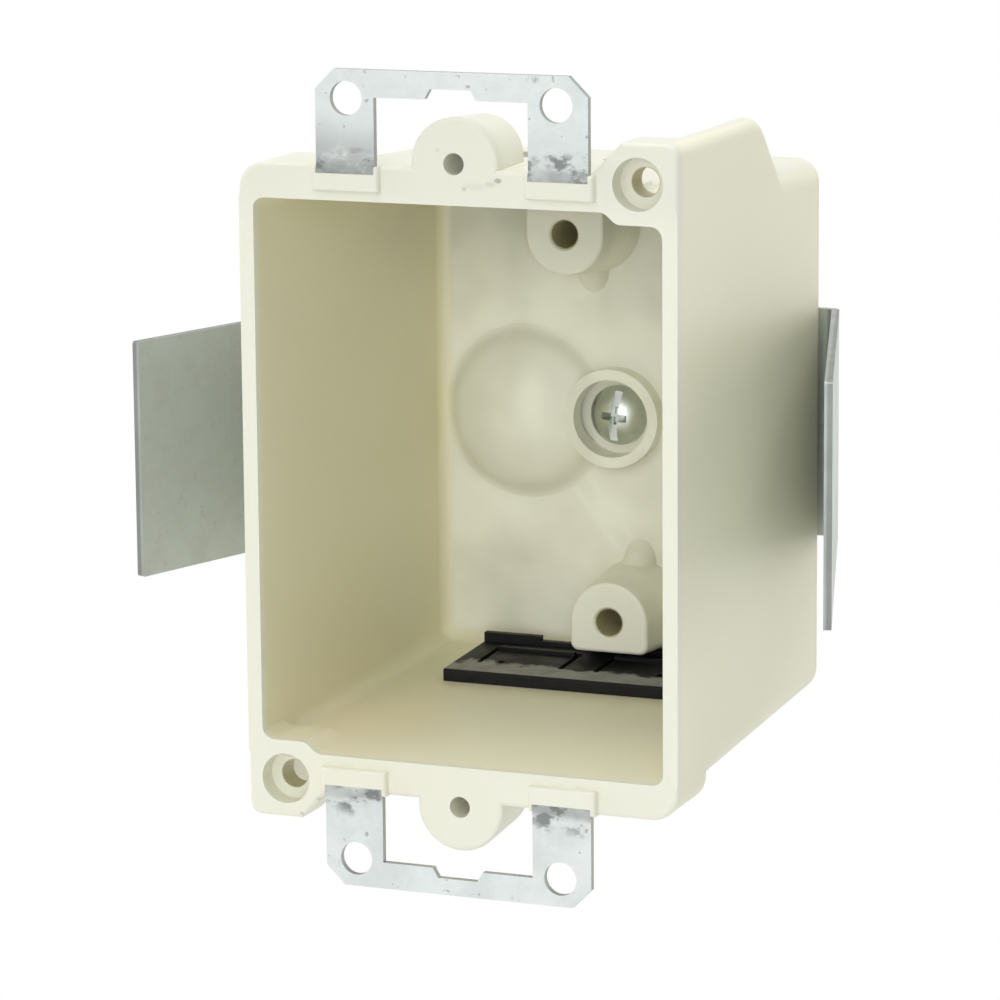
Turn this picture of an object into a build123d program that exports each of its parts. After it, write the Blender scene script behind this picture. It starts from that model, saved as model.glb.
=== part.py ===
from build123d import *
import math
import os

os.makedirs("parts", exist_ok=True)

# Single-gang box for an existing wall. All lengths are in millimetres.
# X points right, Y into the box and Z up. The face of the wall is the plane y = 0:
# the backs of the two steel ears bear on it, and the rim's front lies in it.
# Everything but the domed back wall looks the same after half a turn about Y.

# moulded shell
box_width = 59.8
box_depth = 60.0
side_lean = 0.9             # each side wall leans in by this much from rim to back
shell_height = 78.3         # top and bottom walls, produced forward to the rim's front
shell_height_back = 73.6
shell_corner = 3.3
back_edge_round = 2.0

# rim round the opening
rim_height = 82.0
rim_depth = 11.0
rim_corner = 3.6
front_edge_round = 0.55

# hollow
opening_width = 55.8
opening_height = 72.8
opening_corner = 1.4
hollow_width_back = 52.8
hollow_height_back = 67.6
hollow_corner_back = 2.4
hollow_edge_round = 1.6
back_wall = 2.3

# step in two corners of the opening, below the corner screw holes
step_inset = 1.5            # how far the opening closes in
step_start_inset = 8.5      # where the curve starts and ends, from the opening's side
step_end_inset = 5.4
step_corner = 1.7
step_depth = 5.0            # full depth, before it slopes away
step_slope_length = 7.0

# corner screw bosses and the fins behind them
corner_hole_inset = 5.25    # from the side of the rim
corner_hole_z = 40.04
corner_hole_radius = 1.85
corner_sink_radius = 3.37
corner_sink_depth = 3.0
corner_boss_height = 45.2
corner_boss_reach = 7.4     # from the side of the rim to where its bevel starts
corner_boss_depth = 6.5
corner_edge_round = 1.6
corner_groove_clearance = 0.5
corner_groove_end = 25.0    # beyond this depth the shell has leaned clear of the screw
fin_thickness = 2.2
fin_tip_depth = 33.35       # where the top edge would meet the 45 degree slope
fin_tip_round = 7.0
fin_foot_z = 28.0

# bosses for the device screws
device_spacing = 83.34
device_boss_radius = 5.9
device_boss_radius_back = 5.3
device_boss_depth = 10.5
device_hole_radius = 1.4

# pads that hold the ears
pad_inner_x = 10.0
pad_outer_x = 19.1
pad_inner_z = 37.7
pad_height = 1.25
pad_edge_round = 0.4
pad_bare_z = 40.0           # the metal is bare beyond this height

# steel ears
ear_thickness = 0.95
ear_width = 37.0
ear_outer_z = 53.3
ear_chamfer = 2.6
ear_leg_inner_x = 10.45
ear_window_z = 49.8
ear_notch_width = 7.0
ear_notch_width_top = 5.5
ear_notch_depth = 1.3
ear_hole_x = 14.25
ear_hole_z = 49.6
ear_hole_radius = 2.2
ear_root_z = 38.4
ear_tab_width = 6.6
ear_tab_depth = 6.0
ear_bend_round = 1.2

# central screw boss
seat_ring_radius = 6.9
seat_bore_radius = 5.45
seat_ring_height = 2.7      # in front of the back wall
seat_floor = 1.1            # from the screw's seat to the outside of the back wall
screw_pass_radius = 2.4
rear_boss_radius = 8.0
rear_boss_height = 2.1

# dome pressed into the back wall
dome_x = -13.3
dome_radius = 12.3
dome_height = 3.2

# D-shaped bosses inside
inner_boss_x = 3.13
inner_boss_z = 26.7
inner_boss_height = 11.9    # in front of the back wall
inner_boss_radius = 5.6
inner_boss_flat = 4.2       # from the hole to the flat side
inner_boss_radius_back = 6.7
inner_boss_flat_back = 4.7
inner_boss_corner = 1.2
inner_boss_edge_round = 0.5
inner_hole_radius = 1.9
inner_hole_depth = 9.5
inner_hole_chamfer = 0.35
buttress_x = 3.4
buttress_radius = 2.35
buttress_tip_z = 17.1
buttress_lean = 45.0        # from the back wall, in degrees

# cable entries and the slots beside them
entry_inner_x = 3.6
entry_outer_x = 13.9
entry_lead = 0.2            # from the tongue's root to the entry
entry_length = 8.2
entry_corner = 0.65

# cable clamps
clamp_half_width = 18.0
clamp_length = 16.0
clamp_back_gap = 4.1        # between the flange and the back wall
clamp_thickness = 1.7
clamp_flange_thickness = 1.15
clamp_flange_height = 3.05  # above the floor
clamp_flange_middle_height = 2.4
clamp_boss_clearance = 0.15
clamp_edge_round = 0.3
tongue_inner_x = 3.0
tongue_outer_x = 14.3
tongue_root_inset = 4.6     # from the clamp's front edge
tongue_length = 7.4
tongue_slit = 0.8
tongue_hole_x = 11.9
tongue_hole_inset = 1.0     # from the tongue's root
tongue_hole_radius = 0.75
tongue_rib_height = 0.55
tongue_rib_length = 0.9
leg_inner_x = 16.0
leg_thickness = 1.2
leg_inset = 6.4             # from the clamp's front edge
leg_length = 4.0
leg_barb = 0.5
leg_barb_height = 1.0
leg_slack = 0.15            # between the wall's outside and the barb
leg_side_clearance = 0.15
leg_flex_room = 0.6

# snap bracket
bracket_thickness = 1.05
bracket_height = 31.6
bracket_bend_reach = 1.46   # from the box's side to the outside of the bend
bracket_wing_spread = 17.89 # from the bend out to the tip
bracket_tip_depth = 5.5
bracket_bend_round = 2.1
bracket_corner_round = 0.4
collar_radius = 3.3
collar_length = 1.6

# screw
screw_radius = 2.085
screw_length = 25.4
screw_thread_clearance = 0.05
screw_head_radius = 4.15
screw_head_height = 2.75
screw_head_side = 0.55      # straight part below the dome
screw_slot_width = 1.15
screw_slot_depth = 1.05
screw_cross_width = 1.1
screw_cross_reach = 2.0
screw_cross_depth = 1.9
screw_point_chamfer = 0.6
screw_rest_turn = 6.5       # slot's lean at rest, in degrees

hollow_depth = box_depth - back_wall
corner_hole_x = box_width / 2 - corner_hole_inset
corner_boss_flat = box_width / 2 - corner_boss_reach
seat_ring_front = hollow_depth - seat_ring_height
seat_depth = box_depth - seat_floor
rear_boss_face = box_depth + rear_boss_height
inner_boss_front = hollow_depth - inner_boss_height
clamp_back = hollow_depth - clamp_back_gap
clamp_front = clamp_back - clamp_length
tongue_root = clamp_front + tongue_root_inset
tongue_tip = tongue_root + tongue_length
entry_front = tongue_root + entry_lead
entry_back = entry_front + entry_length
leg_front = clamp_front + leg_inset
bracket_web_half = box_width / 2 - side_lean + bracket_bend_reach
bracket_tip_x = bracket_web_half + bracket_wing_spread


def blend(front, back, y, length):
    """Value at depth y of a size that changes evenly from front to back."""
    return front + (back - front) * y / length


def side_half(y):
    return box_width / 2 - side_lean * y / box_depth


def shell_half(y):
    return blend(shell_height, shell_height_back, y, box_depth) / 2


def hollow_half_width(y):
    return blend(opening_width, hollow_width_back, y, hollow_depth) / 2


def hollow_half_height(y):
    return blend(opening_height, hollow_height_back, y, hollow_depth) / 2


def across(y):
    """Plane across the box at depth y, with X and Z as its own x and y."""
    return Plane(origin=(0, y, 0), x_dir=(1, 0, 0), z_dir=(0, -1, 0))


def inward(sketch, y, length):
    """Solid from a sketch in X and Z, from depth y towards the back."""
    return extrude(across(y) * sketch, amount=-length)


def slab(width, height, radius, y):
    return across(y) * RectangleRounded(width, height, radius)


def half_turn(shape):
    """The same shape turned half way round the box's own axis."""
    return Rot(0, 180, 0) * shape


def both(shape):
    return shape + half_turn(shape)


def box_between(x0, x1, y0, y1, z0, z1):
    return Pos((x0 + x1) / 2, (y0 + y1) / 2, (z0 + z1) / 2) * Box(x1 - x0, y1 - y0, z1 - z0)


def cylinder_in(x, z, radius, y0, y1):
    return inward(Pos(x, z) * Circle(radius), y0, y1 - y0)


def edges_at_depth(shape, y):
    return shape.edges().filter_by_position(Axis.Y, y - 0.001, y + 0.001)


def shell_block():
    """The plain outside of the box, with its back edges rounded."""
    front = slab(2 * side_half(0), 2 * shell_half(0), shell_corner, 0)
    back = slab(2 * side_half(box_depth), 2 * shell_half(box_depth), shell_corner, box_depth)
    block = loft([front, back], ruled=True)
    return fillet(edges_at_depth(block, box_depth), back_edge_round)


def rim_block():
    front = slab(2 * side_half(0), rim_height, rim_corner, 0)
    back = slab(2 * side_half(rim_depth), rim_height, rim_corner, rim_depth)
    rim = loft([front, back], ruled=True)
    return fillet(edges_at_depth(rim, 0), front_edge_round)


def side_plane():
    """Plane of the right wall's outside, with depth and Z as its own x and y."""
    origin = (box_width / 2, 0, 0)
    return Plane(origin=origin, x_dir=(-side_lean, box_depth, 0), z_dir=(box_depth, side_lean, 0))


def corner_block():
    """Upper right boss with the fin behind it, flush with the side wall."""
    rise = corner_boss_height - rim_height / 2
    foot = corner_boss_flat - rise
    low = opening_height / 2 + 0.2
    outline = Polyline(
        (foot, low),
        (foot, rim_height / 2),
        (corner_boss_flat, corner_boss_height),
        (box_width, corner_boss_height),
        (box_width, low),
        close=True,
    )
    boss = inward(make_face(outline), 0, corner_boss_depth)
    boss = split(boss, side_plane(), keep=Keep.BOTTOM)
    drop = corner_boss_height - fin_foot_z
    start = corner_boss_depth / 2
    outline = Polyline(
        (start, fin_foot_z),
        (start, corner_boss_height),
        (fin_tip_depth, corner_boss_height),
        (fin_tip_depth + drop, fin_foot_z),
        close=True,
    )
    profile = make_face(outline)
    tip = profile.vertices().sort_by_distance((fin_tip_depth, corner_boss_height, 0))[0]
    profile = fillet(tip, fin_tip_round)
    fin = extrude(side_plane() * profile, amount=-fin_thickness)
    block = boss + fin
    flush = block.faces().sort_by_distance(side_plane().origin + (0, 10, 40))[0]
    outer = [e for e in flush.edges() if e.center().Z > fin_foot_z + 1 and e.center().Y > 0.5]
    block = fillet(outer, corner_edge_round)
    front = [e for e in edges_at_depth(block, 0) if e.center().X + e.center().Z > foot + rim_height / 2 + 0.5]
    return fillet(front, front_edge_round)


def corner_pocket():
    """Space behind the corner boss, where the rim stops short."""
    foot = corner_boss_flat - (corner_boss_height - rim_height / 2)
    outer = side_half(rim_depth) - fin_thickness
    return box_between(foot, outer, corner_boss_depth, rim_depth + 1, shell_half(0), rim_height)


def device_boss():
    z = device_spacing / 2
    front = across(0) * Pos(0, z) * Circle(device_boss_radius)
    back = across(device_boss_depth) * Pos(0, z) * Circle(device_boss_radius_back)
    boss = loft([front, back], ruled=True)
    return fillet(edges_at_depth(boss, 0), front_edge_round)


def outer_body():
    body = shell_block() + rim_block()
    body -= both(corner_pocket())
    body += both(corner_block())
    body += both(device_boss())
    return body + cylinder_in(0, 0, rear_boss_radius, box_depth - 1, rear_boss_face)


def hollow_block():
    lead = 2.0
    front = slab(2 * hollow_half_width(-lead), 2 * hollow_half_height(-lead), opening_corner, -lead)
    back = slab(hollow_width_back, hollow_height_back, hollow_corner_back, hollow_depth)
    block = loft([front, back], ruled=True)
    return fillet(edges_at_depth(block, hollow_depth), hollow_edge_round)


def corner_step():
    """The upper right step that thickens the wall below the corner screw hole."""
    half_w = opening_width / 2
    half_h = opening_height / 2
    level = half_h - step_inset
    lead = 3.0
    step_start = half_w - step_start_inset
    step_end = half_w - step_end_inset
    curve = Spline((step_start, half_h), (step_end, level), tangents=[(1, 0), (1, 0)])
    flat = Line((step_end, level), (half_w - step_corner, level))
    turn = TangentArc((half_w - step_corner, level), (half_w, level - step_corner), tangent=(1, 0))
    back = Polyline(
        (half_w, level - step_corner),
        (half_w + 1, level - step_corner),
        (half_w + 1, half_h + 1),
        (step_start, half_h + 1),
        (step_start, half_h),
    )
    step = inward(make_face(curve + flat + turn + back), -lead, lead + step_depth + step_slope_length)
    low = level - step_corner
    end = step_depth + step_slope_length
    slope = Polyline((step_depth, low), (end, half_h + 1), (end + 1, half_h + 1), (end + 1, low - 1),
                     (step_depth, low - 1), close=True)
    wedge = extrude(Plane.YZ * make_face(slope), amount=box_width)
    return step - wedge


def d_section(radius, flat, y):
    """Arch above the hole with a flat side beyond it, for the lower inner boss."""
    corner = inner_boss_corner
    low = -inner_boss_z - flat
    x0 = inner_boss_x - radius
    x1 = inner_boss_x + radius
    arch = ThreePointArc((x0, -inner_boss_z), (inner_boss_x, -inner_boss_z + radius), (x1, -inner_boss_z))
    right = Line((x1, -inner_boss_z), (x1, low + corner))
    turn_right = TangentArc((x1, low + corner), (x1 - corner, low), tangent=(0, -1))
    bottom = Line((x1 - corner, low), (x0 + corner, low))
    turn_left = TangentArc((x0 + corner, low), (x0, low + corner), tangent=(-1, 0))
    left = Line((x0, low + corner), (x0, -inner_boss_z))
    return across(y) * make_face(arch + right + turn_right + bottom + turn_left + left)


def inner_boss_half(y):
    """Half width of the drafted inner boss at depth y."""
    return blend(inner_boss_radius, inner_boss_radius_back, y - inner_boss_front, inner_boss_height + 0.5)


def inner_boss():
    """The lower boss inside, drafted to the back wall, with its buttress."""
    front = d_section(inner_boss_radius, inner_boss_flat, inner_boss_front)
    back = d_section(inner_boss_radius_back, inner_boss_flat_back, hollow_depth + 0.5)
    boss = loft([front, back], ruled=True)
    boss = fillet(edges_at_depth(boss, inner_boss_front), inner_boss_edge_round)
    lean = math.radians(buttress_lean)
    centre_z = -buttress_tip_z - buttress_radius / math.sin(lean)
    length = 2 * inner_boss_radius_back
    rib = Pos(buttress_x, hollow_depth, centre_z) * Rot(-buttress_lean, 0, 0) * Cylinder(buttress_radius, length)
    back = hollow_depth + 0.5
    rib -= box_between(-box_width, box_width, back, back + box_depth, -box_width, box_width)
    return boss + rib


def inner_hole():
    end = inner_boss_front + inner_hole_depth
    hole = cylinder_in(inner_boss_x, -inner_boss_z, inner_hole_radius, inner_boss_front, end)
    centre = Pos(inner_boss_x, -inner_boss_z)
    mouth = across(inner_boss_front) * centre * Circle(inner_hole_radius + inner_hole_chamfer)
    throat = across(inner_boss_front + inner_hole_chamfer) * centre * Circle(inner_hole_radius)
    return hole + loft([mouth, throat], ruled=True)


def dome(offset):
    """Soft-edged dome on the back wall's inside, or the dish that hollows its outside."""
    base = hollow_depth + offset
    crown = base - dome_height
    reach = dome_radius
    shoulder = (0.55 * reach, crown + 0.2 * dome_height)
    flank = (0.85 * reach, crown + 0.62 * dome_height)
    profile = Spline((0, crown), shoulder, flank, (reach, base), tangents=[(1, 0), (1, 0.22)])
    edge = Polyline((reach, base), (reach, base + back_wall), (0, base + back_wall), (0, crown))
    half = make_face(profile + edge)
    return Pos(dome_x, 0, 0) * revolve(half, Axis.Y)


def ear_outline():
    """Upper ear's outline in X and Z."""
    half = ear_width / 2
    plate = Polyline(
        (-half, ear_root_z),
        (-half, ear_outer_z - ear_chamfer),
        (-half + ear_chamfer, ear_outer_z),
        (half - ear_chamfer, ear_outer_z),
        (half, ear_outer_z - ear_chamfer),
        (half, ear_root_z),
        (ear_leg_inner_x, ear_root_z),
        (ear_leg_inner_x, ear_window_z),
        (ear_notch_width / 2, ear_window_z),
        (ear_notch_width_top / 2, ear_window_z + ear_notch_depth),
        (-ear_notch_width_top / 2, ear_window_z + ear_notch_depth),
        (-ear_notch_width / 2, ear_window_z),
        (-ear_leg_inner_x, ear_window_z),
        (-ear_leg_inner_x, ear_root_z),
        close=True,
    )
    return make_face(plate)


def ear():
    """Upper ear: a flat punched plate with a tab bent back from each leg into the wall."""
    plate = inward(ear_outline(), -ear_thickness, ear_thickness)
    leg_middle = (ear_leg_inner_x + ear_width / 2) / 2
    for side in (-1, 1):
        x = side * leg_middle
        plate += box_between(
            x - ear_tab_width / 2,
            x + ear_tab_width / 2,
            -ear_thickness,
            ear_tab_depth,
            ear_root_z,
            ear_root_z + ear_thickness,
        )
    corner = [
        e
        for e in plate.edges().filter_by(Axis.X)
        if abs(e.center().Y + ear_thickness) < 0.001 and abs(e.center().Z - ear_root_z) < 0.001
    ]
    plate = fillet(corner, ear_bend_round)
    for side in (-1, 1):
        x = side * ear_hole_x
        plate -= cylinder_in(x, ear_hole_z, ear_hole_radius, -2 * ear_thickness, ear_thickness)
    return plate


def ear_pads():
    """The two raised pads that hold the upper ear's legs."""
    pads = Part()
    for side in (-1, 1):
        x0, x1 = sorted((side * pad_inner_x, side * pad_outer_x))
        pad = box_between(x0, x1, -pad_height, 1.0, pad_inner_z, rim_height / 2)
        pads += fillet(edges_at_depth(pad, -pad_height), pad_edge_round)
    return pads


def pad_windows():
    """Where the pads leave the metal bare, down to the ear's front face."""
    windows = Part()
    for side in (-1, 1):
        x0, x1 = sorted((side * ear_leg_inner_x, side * ear_width / 2))
        windows += box_between(x0, x1, -2 * pad_height, -ear_thickness, pad_bare_z, rim_height / 2 + 1)
    return windows


def clamp_tilt():
    return math.degrees(math.atan((opening_height - hollow_height_back) / 2 / hollow_depth))


def floor_frame():
    """Location on the floor below the middle of the box, tilted with the floor."""
    return Pos(0, 0, -opening_height / 2) * Rot(clamp_tilt(), 0, 0)


def cable_clamp():
    """Lower clamp: plate on the floor, flange at the back, two tongues and two snap legs."""
    frame = floor_frame()
    plate = box_between(-clamp_half_width, clamp_half_width, clamp_front, clamp_back, 0, clamp_thickness)
    front = edges_at_depth(plate, clamp_front).filter_by(Axis.X).sort_by(Axis.Z)[-1:]
    plate = fillet(front, clamp_edge_round)
    for side in (-1, 1):
        middle = side * (tongue_inner_x + tongue_outer_x) / 2
        width = tongue_outer_x - tongue_inner_x
        for edge in (-1, 1):
            x = middle + edge * (width + tongue_slit) / 2
            plate -= box_between(
                x - tongue_slit / 2, x + tongue_slit / 2, tongue_root, tongue_tip + tongue_slit, -1, 3
            )
        x0 = middle - width / 2
        plate -= box_between(x0, x0 + width, tongue_tip, tongue_tip + tongue_slit, -1, 3)
        plate += box_between(
            middle - width / 2,
            middle + width / 2,
            tongue_tip - tongue_rib_length,
            tongue_tip,
            clamp_thickness,
            clamp_thickness + tongue_rib_height,
        )
        hole_depth = tongue_root + tongue_hole_inset
        hole = Pos(side * tongue_hole_x, hole_depth, 0) * Cylinder(tongue_hole_radius, 6 * clamp_thickness)
        plate -= hole
        plate += snap_leg(side)
    plate = frame * plate
    y0 = clamp_back - clamp_flange_thickness
    floor = -hollow_half_height(y0)
    low = floor + 0.4
    middle_top = floor + clamp_flange_middle_height
    flange = box_between(-clamp_half_width, clamp_half_width, y0, clamp_back, low, middle_top)
    step_x = inner_boss_x + inner_boss_half(clamp_back) + clamp_boss_clearance
    for side in (-1, 1):
        x0, x1 = sorted((side * step_x, side * clamp_half_width))
        flange += box_between(x0, x1, y0, clamp_back, low, floor + clamp_flange_height)
    return plate + flange


def floor_wall(y):
    """Thickness of the floor at depth y."""
    return shell_half(y) - hollow_half_height(y)


def snap_leg(side):
    """Leg below the plate that passes the floor and hooks under it."""
    wall = floor_wall(leg_front + leg_length / 2) + leg_slack
    end = wall + leg_barb_height
    leg = box_between(leg_inner_x, leg_inner_x + leg_thickness, leg_front, leg_front + leg_length, -end, 0.2)
    outline = Polyline(
        (leg_inner_x + leg_thickness - 0.2, -wall),
        (leg_inner_x + leg_thickness + leg_barb, -wall),
        (leg_inner_x + leg_thickness, -end),
        (leg_inner_x + leg_thickness - 0.2, -end),
        close=True,
    )
    barb = Pos(0, leg_front + leg_length, 0) * extrude(Plane.XZ * make_face(outline), amount=leg_length)
    leg += barb
    return leg if side > 0 else mirror(leg, Plane.YZ)


def floor_openings():
    """Cable entries and leg slots in the floor."""
    cuts = Part()
    z0 = -shell_height
    for side in (-1, 1):
        middle = side * (entry_inner_x + entry_outer_x) / 2
        entry = RectangleRounded(entry_outer_x - entry_inner_x, entry_back - entry_front, entry_corner)
        placed = Plane.XY.offset(z0) * Pos(middle, (entry_front + entry_back) / 2) * entry
        cuts += extrude(placed, amount=shell_height - inner_boss_z - inner_boss_flat_back - 1)
        leg_outer = leg_inner_x + leg_thickness + leg_side_clearance
        x0, x1 = sorted((side * (leg_inner_x - leg_flex_room), side * leg_outer))
        cuts += box_between(
            x0, x1, leg_front - leg_side_clearance, leg_front + leg_length + leg_side_clearance, z0,
            -inner_boss_z - inner_boss_flat_back - 1,
        )
    return cuts


def box_body():
    """The moulded box in one piece."""
    body = outer_body() + both(ear_pads())
    body -= hollow_block() - both(corner_step())
    body += both(inner_boss()) + dome(0)
    body += cylinder_in(0, 0, seat_ring_radius, seat_ring_front, hollow_depth + 0.5)
    body -= dome(back_wall)
    body += cylinder_in(0, 0, rear_boss_radius, box_depth - 1, rear_boss_face)
    body -= cylinder_in(0, 0, seat_bore_radius, seat_ring_front - dome_height, seat_depth)
    body -= cylinder_in(0, 0, screw_pass_radius, seat_depth - 1, rear_boss_face + 1)
    body -= both(inner_hole())
    cuts = cylinder_in(corner_hole_x, corner_hole_z, corner_sink_radius, -1, corner_sink_depth)
    cuts += cylinder_in(corner_hole_x, corner_hole_z, corner_hole_radius, -1, corner_boss_depth + 0.5)
    groove_radius = corner_hole_radius + corner_groove_clearance
    cuts += cylinder_in(corner_hole_x, corner_hole_z, groove_radius, corner_boss_depth, corner_groove_end)
    cuts += cylinder_in(0, device_spacing / 2, device_hole_radius, -1, device_boss_depth + 1)
    cuts += pad_windows() + ear()
    body -= both(cuts)
    return body - both(floor_openings())


def snap_bracket():
    """One bent strip: a web behind the box and a wing flaring forward on each side."""
    back = rear_boss_face + bracket_thickness
    along_x = bracket_tip_x - bracket_web_half
    along_y = back - bracket_tip_depth
    length = math.hypot(along_x, along_y)
    ux = along_x / length
    uy = -along_y / length
    slip = bracket_thickness * (1 - ux) / -uy
    inner_x = bracket_web_half + uy * bracket_thickness + ux * slip
    tip = (bracket_tip_x, bracket_tip_depth)
    tip_inner = (bracket_tip_x + uy * bracket_thickness, bracket_tip_depth - ux * bracket_thickness)
    right = [tip, (bracket_web_half, back)]
    left = [(-x, y) for x, y in reversed(right)]
    inner_right = [(inner_x, rear_boss_face), tip_inner]
    inner_left = [(-x, y) for x, y in reversed(inner_right)]
    outline = make_face(Polyline(*right, *left, *inner_left, *inner_right, close=True))
    outside = [v for v in outline.vertices() if abs(v.Y - back) < 0.001]
    outline = fillet(outside, bracket_bend_round)
    inside = [
        v
        for v in outline.vertices()
        if abs(abs(v.X) - inner_x) < 0.001 and abs(v.Y - rear_boss_face) < 0.001
    ]
    outline = fillet(inside, bracket_bend_round - bracket_thickness)
    strip = Pos(0, 0, -bracket_height / 2) * extrude(outline, amount=bracket_height)
    tips = [
        e
        for e in strip.edges()
        if abs(e.length - bracket_thickness) < 0.01 and abs(e.center().Z) > bracket_height / 2 - 0.01
    ]
    strip = fillet(tips, bracket_corner_round)
    strip += cylinder_in(0, 0, collar_radius, back - 0.2, back + collar_length)
    hole = screw_radius + screw_thread_clearance
    return strip - cylinder_in(0, 0, hole, rear_boss_face - 1, back + collar_length + 1)


def screw_head():
    """Round head: a dome on a short straight side."""
    top = seat_depth - screw_head_height
    side = seat_depth - screw_head_side
    rise = side - top
    dome_radius = (screw_head_radius ** 2 + rise ** 2) / (2 * rise)
    turn = math.asin(screw_head_radius / dome_radius) / 2
    middle = (dome_radius * math.sin(turn), top + dome_radius * (1 - math.cos(turn)))
    outline = Polyline((screw_head_radius, side), (screw_head_radius, seat_depth), (0, seat_depth), (0, top))
    crown = ThreePointArc((0, top), middle, (screw_head_radius, side))
    return revolve(make_face(outline + crown), Axis.Y)


def bracket_screw():
    """Round head screw with a slot across a cross recess; its thread is left plain here."""
    top = seat_depth - screw_head_height
    shank = cylinder_in(0, 0, screw_radius, seat_depth - 0.5, seat_depth + screw_length)
    shank = chamfer(edges_at_depth(shank, seat_depth + screw_length), screw_point_chamfer)
    screw = screw_head() + shank
    half = screw_slot_width / 2
    reach = 2 * screw_head_radius
    screw -= box_between(-half, half, top - 1, top + screw_slot_depth, -reach, reach)
    for turn in (0, 90):
        wide = across(top) * Rot(0, 0, turn) * Rectangle(2 * screw_cross_reach, screw_cross_width)
        deep = across(top + screw_cross_depth) * Rot(0, 0, turn)
        deep *= Rectangle(screw_cross_reach, screw_cross_width / 2)
        screw -= loft([wide, deep], ruled=True)
    return Rot(0, screw_rest_turn, 0) * screw


def build():
    upper = ear()
    lower = cable_clamp()
    return {
        "box_body": box_body(),
        "upper_ear": upper,
        "lower_ear": half_turn(upper),
        "lower_cable_clamp": lower,
        "upper_cable_clamp": half_turn(lower),
        "snap_bracket": snap_bracket(),
        "bracket_screw": bracket_screw(),
    }


for name, shape in build().items():
    export_step(shape, f"parts/{name}.step")
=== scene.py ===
"""Looks of the single-gang electrical box: finishes, light, backdrop and camera."""

import logging
import math
from collections.abc import Callable
from dataclasses import dataclass
from enum import Enum

import bmesh
import bpy
from mathutils import Matrix, Vector


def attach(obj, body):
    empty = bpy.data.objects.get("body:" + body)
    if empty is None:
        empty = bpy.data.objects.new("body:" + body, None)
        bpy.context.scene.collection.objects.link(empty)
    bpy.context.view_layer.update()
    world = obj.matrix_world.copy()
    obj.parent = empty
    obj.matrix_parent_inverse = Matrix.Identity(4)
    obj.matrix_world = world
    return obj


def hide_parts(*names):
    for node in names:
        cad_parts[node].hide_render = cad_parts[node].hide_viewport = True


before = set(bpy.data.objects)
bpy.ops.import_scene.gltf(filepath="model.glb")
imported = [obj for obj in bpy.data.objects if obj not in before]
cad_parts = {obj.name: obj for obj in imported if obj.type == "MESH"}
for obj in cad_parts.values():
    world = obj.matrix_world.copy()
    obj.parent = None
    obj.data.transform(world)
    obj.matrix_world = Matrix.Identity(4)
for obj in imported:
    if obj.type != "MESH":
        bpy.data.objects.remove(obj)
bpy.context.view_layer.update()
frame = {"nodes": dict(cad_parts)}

log = logging.getLogger("scene")

Colour = tuple[float, float, float]
Triple = tuple[float, float, float]
# Where a smooth step begins and ends, and its results there if they aren't 0 and 1
Marks = tuple[float, ...]
# A noise's features per metre, its number of finer layers and their strength
Pattern = tuple[float, ...]

MM = 0.001
# Half size, in metres, of a patch along an axis that it ignores
FAR = 10.0
# Least part of a face's normal along an axis for the face to count as facing that way
FACING = 0.99
# Sockets of the Mix node when it mixes colours
MIX_SHARE, MIX_FIRST, MIX_SECOND, MIX_RESULT = 0, 6, 7, 2


class Maths(Enum):
    """Operations of the Math node, by the names that the wrapper uses."""

    ADD = "ADD"
    SUBTRACT = "SUBTRACT"
    MULTIPLY = "MULTIPLY"
    DIVIDE = "DIVIDE"
    MINIMUM = "MINIMUM"
    MAXIMUM = "MAXIMUM"
    ABSOLUTE = "ABSOLUTE"


class Sheet(Enum):
    """How a piece of sheet lies, which decides where its cut edges are."""

    EAR = "flat in the wall's plane"
    WINGS = "bent back from two wings"


@dataclass(frozen=True)
class Patch:
    """An ellipsoid on the object.

    Args:
        centre: Its centre, in metres.
        size: Its half sizes, in metres.
    """

    centre: Triple
    size: Triple


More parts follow.
